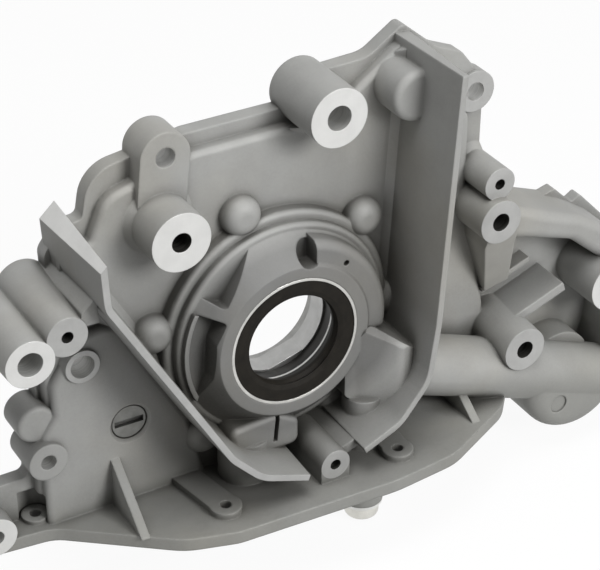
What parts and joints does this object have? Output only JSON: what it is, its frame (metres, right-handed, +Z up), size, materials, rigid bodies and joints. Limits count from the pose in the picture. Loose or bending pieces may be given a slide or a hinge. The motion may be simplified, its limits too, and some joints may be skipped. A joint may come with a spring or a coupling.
{
  "type": "engine oil pump",
  "caption": "Engine oil pump in a cast front case with a crankshaft seal, rotor set, relief valve, belt walls, sump flange and an arm with an oil gallery.",
  "frame": {"origin": "on the crankshaft's axis, in the face that meets the engine block", "axes": "+X to the right seen from the front, +Y back to the engine block along the crankshaft, +Z up"},
  "size_m": [0.333, 0.0634, 0.2252],
  "materials": {
    "cast_aluminium": "as-cast skin with machined faces",
    "seal_steel": "bright pressed steel",
    "seal_rubber": "smooth black rubber",
    "spring_steel": "drawn wire",
    "cover_iron": "ground iron plate",
    "sintered_steel": "sintered and ground",
    "ground_steel": "ground",
    "plated_steel": "zinc plated",
    "washer_aluminium": "soft crush washer",
    "plug_steel": "dull turned steel",
    "screw_steel": "phosphated"
  },
  "bodies": {
    "pump_case": {"pump_housing": "cast_aluminium", "oil_seal_case": "seal_steel", "oil_seal_lip": "seal_rubber", "garter_spring": "spring_steel", "rotor_cover": "cover_iron", "cover_screw_1": "screw_steel", "cover_screw_2": "screw_steel", "cover_screw_3": "screw_steel", "cover_screw_4": "screw_steel", "cover_screw_5": "screw_steel", "cover_screw_6": "screw_steel", "relief_spring": "spring_steel", "relief_plug": "plated_steel", "relief_plug_washer": "washer_aluminium", "slotted_plug": "plug_steel", "gallery_end_plug": "plated_steel", "outlet_o_ring": "seal_rubber"},
    "inner_rotor": {"inner_rotor": "sintered_steel"},
    "outer_rotor": {"outer_rotor": "sintered_steel"},
    "relief_plunger": {"relief_plunger": "ground_steel"}
  },
  "joints": [
    {"name": "inner_rotor_turn", "type": "hinge", "parent": "pump_case", "child": "inner_rotor", "pos_m": [0, 0, 0], "axis": [0, 1, 0], "continuous": true},
    {"name": "outer_rotor_turn", "type": "hinge", "parent": "pump_case", "child": "outer_rotor", "pos_m": [0, 0, 0.0032], "axis": [0, 1, 0], "continuous": true},
    {"name": "relief_plunger_slide", "type": "slide", "parent": "pump_case", "child": "relief_plunger", "axis": [0, 0, -1], "range_m": [0, 0.009], "stiffness_N_per_m": 6000, "springref_m": -0.006, "deforming": ["relief_spring"]}
  ],
  "couplings": [
    {"joint": "inner_rotor_turn", "follows": "outer_rotor_turn", "ratio": 1.1111}
  ]
}
